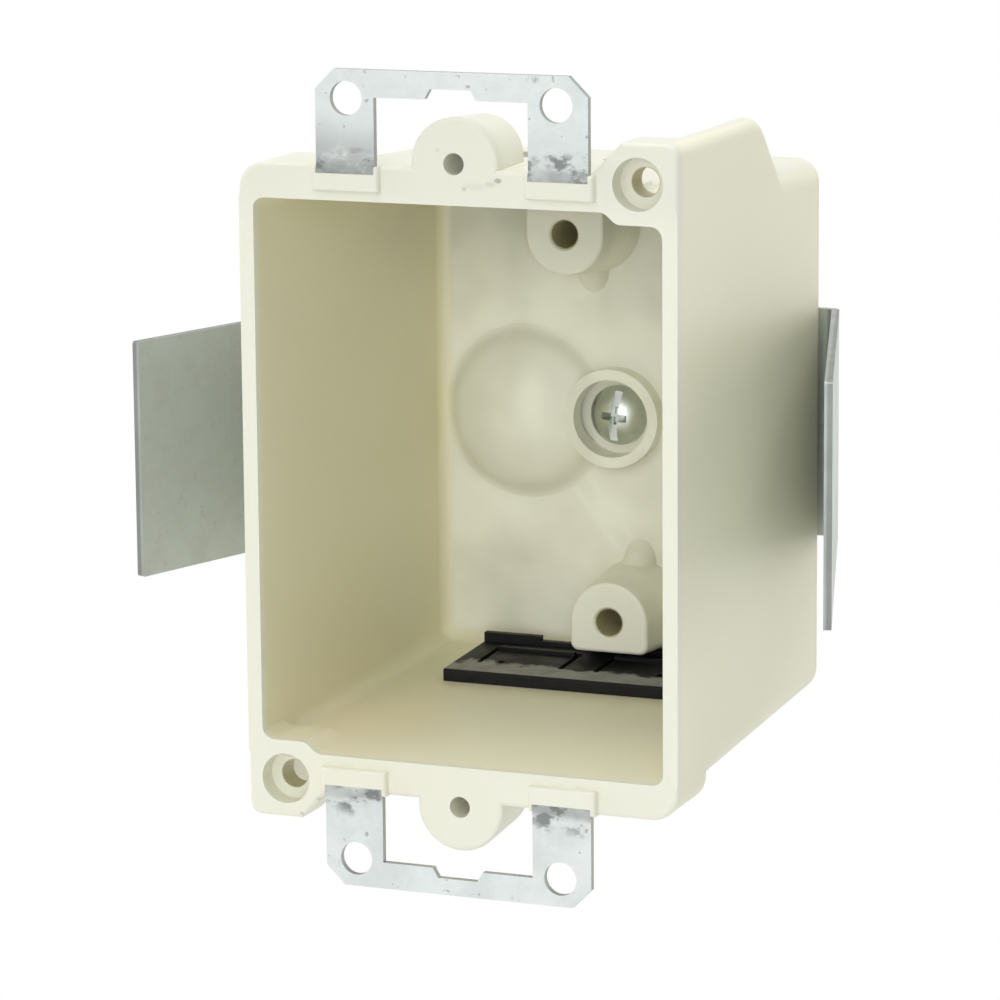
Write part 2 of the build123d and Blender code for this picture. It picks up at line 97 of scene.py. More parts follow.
class Graph:
    """A material's node tree, built one call at a time."""

    def __init__(self, name: str) -> None:
        """Makes an empty material.

        Args:
            name: The material's name.
        """
        self.material = bpy.data.materials.new(name)
        self.material.use_nodes = True
        self.tree = self.material.node_tree
        self.tree.nodes.clear()

    def add(
        self,
        kind: str,
        inputs: "dict[str | int, Value | float | Triple] | None" = None,
        **settings: object,
    ) -> bpy.types.Node:
        """Adds one node.

        Args:
            kind: The node's type name.
            inputs: Socket name or number to a constant or a Value.
            settings: The node's own properties, which are set first.

        Returns:
            The new node.
        """
        node = self.tree.nodes.new(kind)
        for key, setting in settings.items():
            setattr(node, key, setting)
        for key, value in (inputs or {}).items():
            self.feed(node.inputs[key], value)
        return node

    def feed(self, socket: bpy.types.NodeSocket, value: "Value | float | Triple") -> None:
        """Sets a socket to a constant or links a Value to it.

        Args:
            socket: The input socket.
            value: A Value, a number, a vector or a colour.
        """
        if isinstance(value, Value):
            self.tree.links.new(value.socket, socket)
        elif isinstance(value, tuple) and len(socket.default_value) == 4:
            socket.default_value = (*value, 1.0)
        else:
            socket.default_value = value

    def value(self, node: bpy.types.Node, output: str | int = 0) -> "Value":
        """Wraps a node's output, by name or number."""
        return Value(self, node.outputs[output])

    def place(self) -> "Value":
        """The point in the object's own coordinates, in metres."""
        return self.value(self.add("ShaderNodeTexCoord"), "Object")

    def normal(self) -> "Value":
        """The surface's direction in the object's own coordinates."""
        return self.value(self.add("ShaderNodeTexCoord"), "Normal")

    def axes(self, point: "Value") -> tuple["Value", "Value", "Value"]:
        """Splits a point into its x, y and z."""
        node = self.add("ShaderNodeSeparateXYZ", {0: point})
        return self.value(node, 0), self.value(node, 1), self.value(node, 2)

    def millimetres(self, point: "Value") -> "list[Value]":
        """Splits a point in metres into x, y and z in millimetres."""
        return [length / MM for length in self.axes(point)]

    def noise(
        self, point: "Value", scale: float, detail: float, rough: float = 0.55
    ) -> "Value":
        """Noise from 0 to 1, by features per metre, finer layers and their strength."""
        inputs = {"Vector": point, "Scale": scale, "Detail": detail, "Roughness": rough}
        return self.value(self.add("ShaderNodeTexNoise", inputs), "Fac")

    def cells(self, point: "Value", scale: float) -> "Value":
        """A flat random value from 0 to 1 for each cell, by cells per metre."""
        node = self.add("ShaderNodeTexVoronoi", {"Vector": point, "Scale": scale})
        return self.axes(self.value(node, "Color"))[0]

    def stretched(self, point: "Value", scale: Triple) -> "Value":
        """The point with a factor on each axis."""
        node = self.add("ShaderNodeVectorMath", {0: point, 1: scale}, operation="MULTIPLY")
        return self.value(node)

    def step(
        self, value: "Value", low: float, high: float, to_low: float = 0.0, to_high: float = 1.0
    ) -> "Value":
        """Smooth step between two values.

        Args:
            value: The value to map.
            low: Where the step begins, above or below its end.
            high: Where it ends.
            to_low: Result at the beginning.
            to_high: Result at the end.

        Returns:
            The mapped value.
        """
        if low > high:
            low, high, to_low, to_high = high, low, to_high, to_low
        inputs = {
            "Value": value,
            "From Min": low,
            "From Max": high,
            "To Min": to_low,
            "To Max": to_high,
        }
        node = self.add("ShaderNodeMapRange", inputs, interpolation_type="SMOOTHSTEP")
        return self.value(node)

    def mix(
        self, share: "Value | float", first: "Value | Colour", second: "Value | Colour"
    ) -> "Value":
        """Mixes two colours by the share of the second."""
        inputs = {MIX_SHARE: share, MIX_FIRST: first, MIX_SECOND: second}
        return self.value(self.add("ShaderNodeMix", inputs, data_type="RGBA"), MIX_RESULT)

    def near(self, point: "Value", patch: Patch) -> "Value":
        """Distance from a patch's centre, counted in its half sizes.

        Args:
            point: The point.
            patch: The patch.

        Returns:
            The distance: 1 on the ellipsoid.
        """
        ends = {0: point, 1: patch.centre}
        gap = self.value(self.add("ShaderNodeVectorMath", ends, operation="SUBTRACT"))
        parts = {0: gap, 1: patch.size}
        scaled = self.value(self.add("ShaderNodeVectorMath", parts, operation="DIVIDE"))
        length = self.add("ShaderNodeVectorMath", {0: scaled}, operation="LENGTH")
        return self.value(length, "Value")

    def bump(self, height: "Value", distance: float, strength: float) -> "Value":
        """Normal from a height, by its depth in metres and its strength."""
        inputs = {"Height": height, "Distance": distance, "Strength": strength}
        return self.value(self.add("ShaderNodeBump", inputs))

    def surface(self, **inputs: "Value | float | Colour") -> bpy.types.Material:
        """Ends the material in a Principled surface.

        Args:
            inputs: Principled inputs, with underscores for spaces.

        Returns:
            The finished material.
        """
        named = {key.replace("_", " "): value for key, value in inputs.items()}
        shader = self.value(self.add("ShaderNodeBsdfPrincipled", named))
        self.add("ShaderNodeOutputMaterial", {"Surface": shader})
        return self.material


@dataclass(frozen=True)
class Value:
    """An output socket that takes part in plain arithmetic.

    Args:
        graph: The tree that the socket is in.
        socket: The output socket.
    """

    graph: Graph
    socket: bpy.types.NodeSocket

    def maths(
        self, operation: Maths, other: "Value | float | None" = None, swap: bool = False
    ) -> "Value":
        """Adds one Math node.

        Args:
            operation: What it does.
            other: The second value, if it takes one.
            swap: Whether the second value comes first.

        Returns:
            The result.
        """
        pair = [self] if other is None else [self, other]
        if swap:
            pair.reverse()
        inputs = dict(enumerate(pair))
        node = self.graph.add("ShaderNodeMath", inputs, operation=operation.value)
        return self.graph.value(node)

    def __add__(self, other: "Value | float") -> "Value":
        """Sum."""
        return self.maths(Maths.ADD, other)

    def __radd__(self, other: float) -> "Value":
        """Sum with the number first."""
        return self.maths(Maths.ADD, other, True)

    def __sub__(self, other: "Value | float") -> "Value":
        """Difference."""
        return self.maths(Maths.SUBTRACT, other)

    def __rsub__(self, other: float) -> "Value":
        """Difference with the number first."""
        return self.maths(Maths.SUBTRACT, other, True)

    def __mul__(self, other: "Value | float") -> "Value":
        """Product."""
        return self.maths(Maths.MULTIPLY, other)

    def __rmul__(self, other: float) -> "Value":
        """Product with the number first."""
        return self.maths(Maths.MULTIPLY, other, True)

    def __truediv__(self, other: "Value | float") -> "Value":
        """Quotient."""
        return self.maths(Maths.DIVIDE, other)

    def __rtruediv__(self, other: float) -> "Value":
        """Quotient with the number first."""
        return self.maths(Maths.DIVIDE, other, True)

    def __abs__(self) -> "Value":
        """Size without sign."""
        return self.maths(Maths.ABSOLUTE)

    def least(self, other: "Value | float") -> "Value":
        """The smaller of the two."""
        return self.maths(Maths.MINIMUM, other)

    def most(self, other: "Value | float") -> "Value":
        """The larger of the two."""
        return self.maths(Maths.MAXIMUM, other)


@dataclass(frozen=True)
class Spot:
    """A speck or a hole in the moulding's front, in millimetres.

    Args:
        x: Place across.
        z: Height.
        width: Half width.
        height: Half height.
        strength: How strong its colour is, 0 to 1.
    """

    x: float
    z: float
    width: float
    height: float
    strength: float = 1.0

    def patch(self, depth: float) -> Patch:
        """The patch that holds it, for a half depth in metres."""
        size = (self.width * MM, depth, self.height * MM)
        return Patch((self.x * MM, 0.0, self.z * MM), size)


@dataclass(frozen=True)
class Hollow:
    """Painted light and shade inside the box: a lit near floor, a shaded yellower left side and
    deep floor, a clouded back wall.

    Lengths are in millimetres, and depths count from the wall's plane.
    """

    # Colours of the painted light on the near floor, the painted shade on the left and deep
    # floor, the painted pool of light, and the clouds' painted shade and light
    front: Colour = (0.93, 0.90, 0.69)
    inner: Colour = (0.835, 0.785, 0.545)
    glow: Colour = (0.93, 0.845, 0.61)
    shade: Colour = (0.74, 0.735, 0.60)
    light: Colour = (0.94, 0.94, 0.81)
    # Half the opening's width and height, and what each loses for a millimetre of depth
    half_width: float = 27.9
    width_draft: float = 0.026
    half_height: float = 36.4
    height_draft: float = 0.0451
    # Depths of the mouth and behind the back wall, and gaps to the walls
    mouth: Marks = (0.2, 2.0)
    back_face: Marks = (58.2, 58.0)
    within: Marks = (-0.6, -0.4)
    near_side: Marks = (2.4, 0.6)
    near_floor: Marks = (2.8, 0.8)
    # Picks the left half over x, or the lower half over z
    negative: Marks = (1.0, -1.0)
    # Depths of the floor's painted light and shade, and its painted pool of light
    front_floor: Marks = (26.0, 12.0)
    deep_floor: Marks = (12.0, 40.0, 0.0, 0.7)
    sun: Patch = Patch((-0.019, 0.016, -0.0355), (0.014, 0.022, 0.006))
    sun_fade: Marks = (1.1, 0.3, 0.0, 0.9)
    # The back wall: faces to the room, over the normal's depth part, and depths
    to_room: Marks = (0.5, 0.2)
    back_wall: Marks = (46.0, 50.0)
    # Its clouds of painted shade and reflection, what its upper and lower parts change, and
    # which are dark or light
    cloud: Pattern = (85.0, 2.0, 0.45)
    cloud_high: Marks = (30.0, 8.0, -0.14, 0.1)
    cloud_low: Marks = (-8.0, -24.0, 0.0, 0.12)
    cloud_dark: Marks = (0.48, 0.28)
    cloud_light: Marks = (0.44, 0.68)
    # The dome's outline, and its flank of painted shade over the distance in it
    outline: Patch = Patch((-0.0133, 0.0, 0.0), (0.0123, FAR, 0.0123))
    flank_start: Marks = (0.15, 0.7)
    flank_end: Marks = (1.1, 0.88, 0.0, 0.6)
    # The painted highlights on the crown and on the wall above the dome, with how each fades
    # out
    crown: Patch = Patch((-0.0118, 0.0, 0.0018), (0.0038, FAR, 0.0060))
    crown_fade: Marks = (1.1, 0.1)
    above: Patch = Patch((-0.0088, 0.0, 0.0132), (0.0045, FAR, 0.0026))
    above_fade: Marks = (1.2, 0.3, 0.0, 0.8)
    # The two painted highlight streaks: parts of x and z across them, their places, fade and
    # ends
    across: tuple[float, float] = (0.79, 0.613)
    highlight_streaks: tuple[float, float] = (-11.4, -8.8)
    line_fade: Marks = (0.8, 0.1)
    line_start: Marks = (3.0, 6.0)
    line_end: Marks = (16.5, 13.0, 0.0, 0.6)

    def tint(self, graph: Graph, point: Value, colour: Value) -> Value:
        """Adds the painted light and shade.

        Args:
            graph: The material's graph.
            point: The point.
            colour: The colour so far.

        Returns:
            The tinted colour.
        """
        x, y, z = graph.millimetres(point)
        side_gap = self.half_width - abs(x) - y * self.width_draft
        height_gap = self.half_height - abs(z) - y * self.height_draft
        hollow = graph.step(y, *self.mouth) * graph.step(y, *self.back_face)
        hollow = hollow * graph.step(side_gap.least(height_gap), *self.within)
        left = graph.step(side_gap, *self.near_side) * graph.step(x, *self.negative)
        floor = graph.step(height_gap, *self.near_floor) * graph.step(z, *self.negative)
        # Painted light on the floor near the opening
        pale = hollow * floor * graph.step(y, *self.front_floor)
        colour = graph.mix(pale, colour, self.front)
        # Painted shade with a yellow bounce colour on the left side and the deep floor
        yellow = hollow * left.most(floor * graph.step(y, *self.deep_floor))
        colour = graph.mix(yellow, colour, self.inner)
        # Painted pool of warm light on the floor
        sunny = graph.step(graph.near(point, self.sun), *self.sun_fade)
        colour = graph.mix(hollow * floor * sunny, colour, self.glow)
        room_side = graph.step(graph.axes(graph.normal())[1], *self.to_room)
        back = graph.step(y, *self.back_wall) * hollow * room_side
        back = back * (1.0 - left) * (1.0 - floor)
        # Clouds of painted shade and painted reflection on the back wall, shaded more at its
        # top and bottom
        cloud = graph.noise(point, *self.cloud) + graph.step(z, *self.cloud_high)
        cloud = cloud - graph.step(z, *self.cloud_low)
        colour = graph.mix(back * graph.step(cloud, *self.cloud_dark), colour, self.shade)
        colour = graph.mix(back * graph.step(cloud, *self.cloud_light), colour, self.light)
        return self.dome(graph, point, back, colour)

    def dome(self, graph: Graph, point: Value, back: Value, colour: Value) -> Value:
        """Paints shade on the dome's flank, and highlights on its crown, the wall above it and
        two streaks.

        Args:
            graph: The material's graph.
            point: The point.
            back: Where the back wall is, 0 to 1.
            colour: The colour so far.

        Returns:
            The tinted colour.
        """
        x, _, z = graph.millimetres(point)
        reach = graph.near(point, self.outline)
        # Painted shade on the dome's flank
        flank = graph.step(reach, *self.flank_start) * graph.step(reach, *self.flank_end)
        colour = graph.mix(back * flank, colour, self.shade)
        # Painted highlights on the crown, the wall above and two streaks
        crown = graph.step(graph.near(point, self.crown), *self.crown_fade)
        above = graph.step(graph.near(point, self.above), *self.above_fade)
        over, up = self.across
        across = x * over + z * up
        along = x * up - z * over
        first, second = (graph.step(abs(across - line), *self.line_fade) for line in self.highlight_streaks)
        highlight_streaks = first.most(second) * graph.step(along, *self.line_start)
        highlight_streaks = highlight_streaks * graph.step(along, *self.line_end)
        return graph.mix(back * crown.most(above).most(highlight_streaks), colour, self.light)


@dataclass(frozen=True)
class MouldedCompound:
    """Finish of the moulded box: satin, warm white and a little uneven, with painted shade and
    light on some parts.
    """

    colour: Colour = (0.855, 0.850, 0.725)
    warm: Colour = (0.845, 0.815, 0.645)
    # Painted shade on the upper part of the box
    top_shade: Colour = (0.80, 0.795, 0.68)
    # Painted warm light on the outer right wall
    right_wall_light: Colour = (0.89, 0.875, 0.69)
    # Painted shade inside the screw holes
    shaded_bore: Colour = (0.56, 0.52, 0.32)
    speck_colour: Colour = (0.33, 0.32, 0.28)
    # Clouds and fine grain, and how much the clouds warm the colour
    cloud: Pattern = (42.0, 3.0)
    grain: Pattern = (900.0, 2.0)
    warmth: Marks = (0.35, 0.7, 0.0, 0.35)
    # Heights of the top's painted shade; places across and depths of the outer right wall's
    # painted light
    top: Marks = (32.0, 39.0, 0.0, 0.9)
    right_wall: Marks = (28.2, 28.9)
    wall_depth: Marks = (0.5, 3.0)
    # Screw holes, how sharply their painted shade ends, and the depths that it lies between
    bores: tuple[Spot, ...] = (
        Spot(-3.13, 26.7, 1.97, 1.97),
        Spot(3.13, -26.7, 1.97, 1.97),
        Spot(24.65, 40.04, 1.9, 1.9),
        Spot(-24.65, -40.04, 1.9, 1.9),
    )
    bore_edge: Marks = (1.06, 1.0)
    bore_mouth: Marks = (0.4, 1.2)
    bore_floor: Marks = (57.7, 57.2)
    specks: tuple[Spot, ...] = (
        Spot(6.0, 39.8, 0.55, 0.35, 0.75),
        Spot(4.9, 39.3, 0.8, 0.35, 0.25),
        Spot(1.4, 38.6, 0.35, 0.3, 0.4),
        Spot(2.8, 38.9, 1.6, 0.5, 0.12),
        Spot(-2.2, 43.4, 0.35, 0.3, 0.2),
        Spot(-22.4, -44.6, 0.3, 0.3, 0.4),
        Spot(-20.0, -42.4, 0.35, 0.3, 0.35),
    )
    # The specks' half depth in metres, what frays them, its two parts, and their fade
    speck_depth: float = 0.003
    speck_grain: Pattern = (2600.0, 2.0)
    speck_fray: tuple[float, float] = (0.7, 0.6)
    speck_edge: Marks = (1.3, 0.4)
    # Roughness over the clouds, heights of grain and clouds, the bump's depth and strength
    roughness: Marks = (0.3, 0.7, 0.38, 0.48)
    relief_parts: tuple[float, float] = (0.6, 2.0)
    relief: tuple[float, float] = (0.00004, 0.35)

    def build(self) -> bpy.types.Material:
        """Builds the material.

        Returns:
            The material.
        """
        graph = Graph("moulded_compound")
        point = graph.place()
        cloud = graph.noise(point, *self.cloud)
        grain = graph.noise(point, *self.grain)
        colour = graph.mix(graph.step(cloud, *self.warmth), self.colour, self.warm)
        x, y, z = graph.millimetres(point)
        # Painted shade on the upper part of the box
        colour = graph.mix(graph.step(z, *self.top), colour, self.top_shade)
        # Painted warm light on the outer right wall
        right = graph.step(x, *self.right_wall) * graph.step(y, *self.wall_depth)
        colour = graph.mix(right, colour, self.right_wall_light)
        colour = Hollow().tint(graph, point, colour)
        # Painted shade inside the screw holes
        depth = graph.step(y, *self.bore_mouth) * graph.step(y, *self.bore_floor)
        for shaded_bore in self.bores:
            inside = graph.step(graph.near(point, shaded_bore.patch(FAR)), *self.bore_edge)
            colour = graph.mix(inside * depth, colour, self.shaded_bore)
        least, added = self.speck_fray
        fray = graph.noise(point, *self.speck_grain) * added + least
        for speck in self.specks:
            reach = graph.near(point, speck.patch(self.speck_depth)) * fray
            share = graph.step(reach, *self.speck_edge, 0.0, speck.strength)
            colour = graph.mix(share, colour, self.speck_colour)
        grain_height, cloud_height = self.relief_parts
        height = grain * grain_height + cloud * cloud_height
        return graph.surface(
            Base_Color=colour,
            Roughness=graph.step(cloud, *self.roughness),
            Normal=graph.bump(height, *self.relief),
        )


@dataclass(frozen=True)
class PadMarks:
    """Grime, smears and a seam of dirt with painted shade on an ear where it comes out of the
    moulded pad.

    Lengths are in millimetres. Marks over the height count it from the box's middle, up or
    down.
    """

    stain: Colour
    smear: Colour = (0.86, 0.86, 0.79)
    grime: Colour = (0.42, 0.45, 0.44)
    # Patterns that carry the marks up and down and fray them
    broad: Pattern = (190.0, 2.0, 0.5)
    ragged: Pattern = (430.0, 3.0, 0.6)
    stretch: Triple = (0.8, 1.0, 1.3)
    # How far the marks wander, the lift that evens it out, and their drop to the right
    wander: tuple[float, float] = (6.5, 3.2)
    right_drop: Marks = (-1.0, 1.0, 0.0, 0.9)
    # The grey veil: how far the clouds carry it, its end, its strength over x and z
    veil_wander: float = 8.0
    veil_end: Marks = (48.5, 41.0)
    veil_left: Marks = (1.0, -1.0, 0.3, 1.0)
    veil_upper: Marks = (-1.0, 1.0, 0.1, 0.8)
    # Smears: where they end, which are pale or dark, and how strong the dark ones are
    smear_end: Marks = (43.4, 41.4)
    pale: Marks = (0.46, 0.36, 0.0, 0.55)
    dark: Marks = (0.5, 0.64)
    dark_share: float = 0.85
    metal_lost: float = 0.6
    # The dark seam, dirt with painted contact shade: how far it wanders, its end, how dark it
    # is, its height in the bump
    seam_wander: float = 2.0
    seam_end: Marks = (42.0, 40.9)
    seam_share: Marks = (0.35, 0.6, 0.25, 0.6)
    seam_height: float = 2.0

    def lay(self, graph: Graph, point: Value, cloud: Value, coat: list[Value]) -> list[Value]:
        """Adds the marks.

        Args:
            graph: The material's graph.
            point: The point.
            cloud: The zinc's clouds.
            coat: Colour, metallic share and height for the bump so far.

        Returns:
            The same three with the marks.
        """
        colour, metallic, height = coat
        x, _, z = graph.millimetres(point)
        away = abs(z)
        broad = graph.noise(point, *self.broad)
        ragged = graph.noise(graph.stretched(point, self.stretch), *self.ragged)
        reach, lift = self.wander
        level = away - broad * reach + lift - graph.step(x, *self.right_drop)
        veil = away + cloud * self.veil_wander - self.veil_wander / 2
        veil = graph.step(veil, *self.veil_end)
        corner = graph.step(x, *self.veil_left) * graph.step(z, *self.veil_upper)
        colour = graph.mix(veil * corner, colour, self.grime)
        smear = graph.step(level, *self.smear_end)
        colour = graph.mix(smear * graph.step(ragged, *self.pale), colour, self.smear)
        marks = smear * graph.step(ragged, *self.dark)
        colour = graph.mix(marks * self.dark_share, colour, self.stain)
        # A dark seam where the ear leaves the pad: dirt with painted contact shade
        seam = away + ragged * self.seam_wander - self.seam_wander / 2
        seam = graph.step(seam, *self.seam_end)
        colour = graph.mix(seam * graph.step(broad, *self.seam_share), colour, self.stain)
        metallic = metallic * (1.0 - seam) * (1.0 - marks * self.metal_lost)
        return [colour, metallic, height + seam * self.seam_height + marks]


@dataclass(frozen=True)
class Galvanised:
    """Finish of zinc-coated sheet: clouded zinc, faint crystals, pits and bare cut edges.

    Depths are in millimetres from the wall's plane.

    Args:
        name: The material's name.
        sheet: How the sheet lies.
        colour: The zinc's light colour.
        dull: Its dull colour.
        cut: Colour of cut edges, and of the painted shade on the wings' inner sides.
        stain: Colour of stains and pits.
        metallic: Metallic share of clean zinc.
        cell_scale: Crystals per metre.
        crystal: Share of the crystals in the mottle.
        stained: Which parts of the stain pattern show, and how much.
        pitted: Which parts of the pit pattern show, and how much.
        marks: Marks at the moulded pad, if it has any.
    """

    name: str
    sheet: Sheet
    colour: Colour
    dull: Colour
    cut: Colour
    stain: Colour
    metallic: float
    cell_scale: float
    crystal: float
    stained: Marks
    pitted: Marks
    marks: PadMarks | None = None
    # Patterns of the clouds and the fine grain, and how they mottle the colour
    cloud: Pattern = (130.0, 4.0, 0.6)
    fine: Pattern = (1500.0, 3.0, 0.6)
    fine_share: float = 0.15
    mottled: Marks = (0.34, 0.66)
    # Patterns of the stains and pits, and the metallic share that a full stain takes
    stains: Pattern = (420.0, 4.0, 0.7)
    stain_stretch: Triple = (1.0, 1.0, 0.6)
    pits: Pattern = (900.0, 2.0, 0.5)
    metal_lost: float = 0.3
    # Roughness over the clouds, height of the grain, the bump's depth and strength
    roughness: Marks = (0.3, 0.7, 0.36, 0.52)
    fine_height: float = 0.5
    relief: tuple[float, float] = (0.00005, 0.5)
    # An ear's cut edges, over the normal's depth part
    ear_edge: Marks = (0.85, 0.5)
    # A wing's tip, over the same and the depth, and its upper and lower edges
    tip_face: Marks = (0.7, 0.9)
    tip_depth: Marks = (9.0, 7.5)
    sheared_face: Marks = (0.5, 0.8)
    # Parts of x and depth out of a wing's face, and how dark its edge is along that
    outward: tuple[float, float] = (0.957, 0.291)
    outer_half: Marks = (47.35, 46.95, 1.0, 0.6)
    # A wing's side to the box, where shade is painted: over x times the normal's x part, and
    # its shaded depths
    inner_side: Marks = (0.0, -10.0)
    inner_depth: Marks = (24.0, 36.0, 0.0, 0.35)

    def cut_edge(self, graph: Graph, point: Value) -> Value:
        """How far a point lies on a sheared edge, which on a wing has a dark outer half.

        Args:
            graph: The material's graph.
            point: The point.

        Returns:
            The share, 0 to 1.
        """
        _, in_depth, in_height = (abs(part) for part in graph.axes(graph.normal()))
        if self.sheet is Sheet.EAR:
            return graph.step(in_depth, *self.ear_edge)
        x, y, _ = graph.millimetres(point)
        tip = graph.step(in_depth, *self.tip_face) * graph.step(y, *self.tip_depth)
        sheared = tip.most(graph.step(in_height, *self.sheared_face))
        over, back = self.outward
        return sheared * graph.step(abs(x) * over + y * back, *self.outer_half)

    def shaded_side(self, graph: Graph, point: Value) -> Value:
        """How far a point lies on a wing's side to the box, where shade is painted.

        Args:
            graph: The material's graph.
            point: The point.

        Returns:
            The share, 0 to 1.
        """
        x, y, _ = graph.millimetres(point)
        inward = graph.step(graph.axes(graph.normal())[0] * x, *self.inner_side)
        return inward * graph.step(y, *self.inner_depth)

    def build(self) -> bpy.types.Material:
        """Builds the material.

        Returns:
            The material.
        """
        graph = Graph(self.name)
        point = graph.place()
        crystal = graph.cells(point, self.cell_scale)
        cloud = graph.noise(point, *self.cloud)
        fine = graph.noise(point, *self.fine)
        cloud_share = 1.0 - self.fine_share - self.crystal
        mottle = crystal * self.crystal + cloud * cloud_share + fine * self.fine_share
        colour = graph.mix(graph.step(mottle, *self.mottled), self.colour, self.dull)
        stains = graph.noise(graph.stretched(point, self.stain_stretch), *self.stains)
        pits = graph.noise(point, *self.pits)
        stained = graph.step(stains, *self.stained).most(graph.step(pits, *self.pitted))
        spoilt = self.metallic - self.metal_lost
        coat = [
            graph.mix(stained, colour, self.stain),
            graph.step(stained, 0.0, 1.0, self.metallic, spoilt),
            fine * self.fine_height + cloud,
        ]
        if self.marks is not None:
            coat = self.marks.lay(graph, point, cloud, coat)
        colour, metallic, height = coat
        if self.sheet is Sheet.WINGS:
            # Painted shade on a wing's side to the box
            colour = graph.mix(self.shaded_side(graph, point), colour, self.cut)
        return graph.surface(
            Base_Color=graph.mix(self.cut_edge(graph, point), colour, self.cut),
            Metallic=metallic,
            Roughness=graph.step(cloud, *self.roughness),
            Normal=graph.bump(height, *self.relief),
        )


@dataclass(frozen=True)
class BlackPlastic:
    """Finish of the cable clamps: satin black, paler along the front."""

    colour: Colour = (0.007, 0.007, 0.008)
    pale_front: Colour = (0.295, 0.295, 0.28)
    # Strength of the shine, and roughness over the clouds
    specular: float = 0.27
    roughness: Marks = (0.3, 0.7, 0.45, 0.62)
    # Patterns of the clouds and of the fray of the pale band's end, and how far it reaches
    cloud: Pattern = (260.0, 4.0, 0.6)
    fray: Pattern = (200.0, 3.0, 0.6)
    fray_reach: float = 8.0
    # Depths at which the pale band ends and begins, and its strength over the clouds
    pale_end: Marks = (43.0, 41.8)
    pale_start: Marks = (37.7, 38.0)
    pale_share: Marks = (0.2, 0.6, 0.45, 1.0)
    # Pattern, depth and strength of the bump
    grain: Pattern = (1100.0, 2.0)
    relief: tuple[float, float] = (0.00003, 0.4)

    def build(self) -> bpy.types.Material:
        """Builds the material.

        Returns:
            The material.
        """
        graph = Graph("black_plastic")
        point = graph.place()
        cloud = graph.noise(point, *self.cloud)
        depth = graph.millimetres(point)[1]
        end = depth + graph.noise(point, *self.fray) * self.fray_reach - self.fray_reach / 2
        # A paler band along the front, black further back
        paler = graph.step(end, *self.pale_end) * graph.step(depth, *self.pale_start)
        paler = paler * graph.step(cloud, *self.pale_share)
        return graph.surface(
            Base_Color=graph.mix(paler, self.colour, self.pale_front),
            Specular_IOR_Level=self.specular,
            Roughness=graph.step(cloud, *self.roughness),
            Normal=graph.bump(graph.noise(point, *self.grain), *self.relief),
        )


@dataclass(frozen=True)
class ZincScrew:
    """Finish of the screw: bright zinc, a little clouded."""

    colour: Colour = (0.72, 0.76, 0.725)
    dull: Colour = (0.64, 0.675, 0.64)
    # Pattern of the clouds, and how they go to dull and rough
    cloud: Pattern = (600.0, 2.0)
    clouded: Marks = (0.42, 0.72)
    roughness: Marks = (0.3, 0.7, 0.31, 0.42)

    def build(self) -> bpy.types.Material:
        """Builds the material.

        Returns:
            The material.
        """
        graph = Graph("zinc_screw")
        cloud = graph.noise(graph.place(), *self.cloud)
        return graph.surface(
            Base_Color=graph.mix(graph.step(cloud, *self.clouded), self.colour, self.dull),
            Metallic=1.0,
            Roughness=graph.step(cloud, *self.roughness),
        )


@dataclass(frozen=True)
class Stage:
    """White floor and backdrop, and the world around them.

    Args:
        floor_height: Height of the floor, in metres.
        size: Width of the floor and the backdrop, in metres.
        backdrop_depth: Distance of the backdrop behind the wall plane, in metres.
        white: Brightness of the background to the camera.
        mirrored: How much of that the metals reflect from the paper.
        bounce: Colour of the paper to all other rays.
        world: Strength of the world to all rays but the camera's.
    """

    floor_height: float = -0.32
    size: float = 6.0
    backdrop_depth: float = 1.6
    white: float = 1.0
    mirrored: float = 0.9
    bounce: Colour = (0.85, 0.85, 0.84)
    world: float = 0.35

    def paper(self) -> bpy.types.Material:
        """White to the camera, matt and pale to the light.

        Returns:
            The material.
        """
        graph = Graph("paper")
        path = graph.add("ShaderNodeLightPath")
        matt = graph.add("ShaderNodeBsdfDiffuse", {"Color": self.bounce})
        glow = graph.add(
            "ShaderNodeEmission", {"Color": (1.0, 1.0, 1.0), "Strength": self.white}
        )
        mirror = graph.value(path, "Is Glossy Ray") * self.mirrored
        seen = graph.value(path, "Is Camera Ray").most(mirror)
        layers = {0: seen, 1: graph.value(matt), 2: graph.value(glow)}
        mixed = graph.value(graph.add("ShaderNodeMixShader", layers))
        graph.add("ShaderNodeOutputMaterial", {"Surface": mixed})
        return graph.material

    def light_world(self) -> None:
        """Makes the world: white to the camera, an even soft light to the object."""
        world = bpy.data.worlds.new("world")
        bpy.context.scene.world = world
        world.use_nodes = True
        nodes, links = world.node_tree.nodes, world.node_tree.links
        background = nodes["Background"]
        background.inputs["Color"].default_value = (1.0, 1.0, 1.0, 1.0)
        path = nodes.new("ShaderNodeLightPath")
        level = nodes.new("ShaderNodeMapRange")
        level.inputs["To Min"].default_value = self.world
        level.inputs["To Max"].default_value = self.white
        links.new(path.outputs["Is Camera Ray"], level.inputs["Value"])
        links.new(level.outputs["Result"], background.inputs["Strength"])

    def sheet(self, name: str, place: Triple, tilt: float) -> bpy.types.Object:
        """Adds one square of paper.

        Args:
            name: The object's name.
            place: Where its middle is, in metres.
            tilt: How far it is tipped up, in degrees.

        Returns:
            The sheet.
        """
        turned = (math.radians(tilt), 0, 0)
        bpy.ops.mesh.primitive_plane_add(size=self.size, location=place, rotation=turned)
        sheet = bpy.context.object
        sheet.name = name
        return sheet

    def build(self) -> None:
        """Adds the floor, the backdrop and the world."""
        paper = self.paper()
        floor = self.sheet("stage_floor", (0, 0, self.floor_height), 0)
        back = self.sheet("stage_backdrop", (0, self.backdrop_depth, 0), 90)
        floor.data.materials.append(paper)
        back.data.materials.append(paper)
        self.light_world()


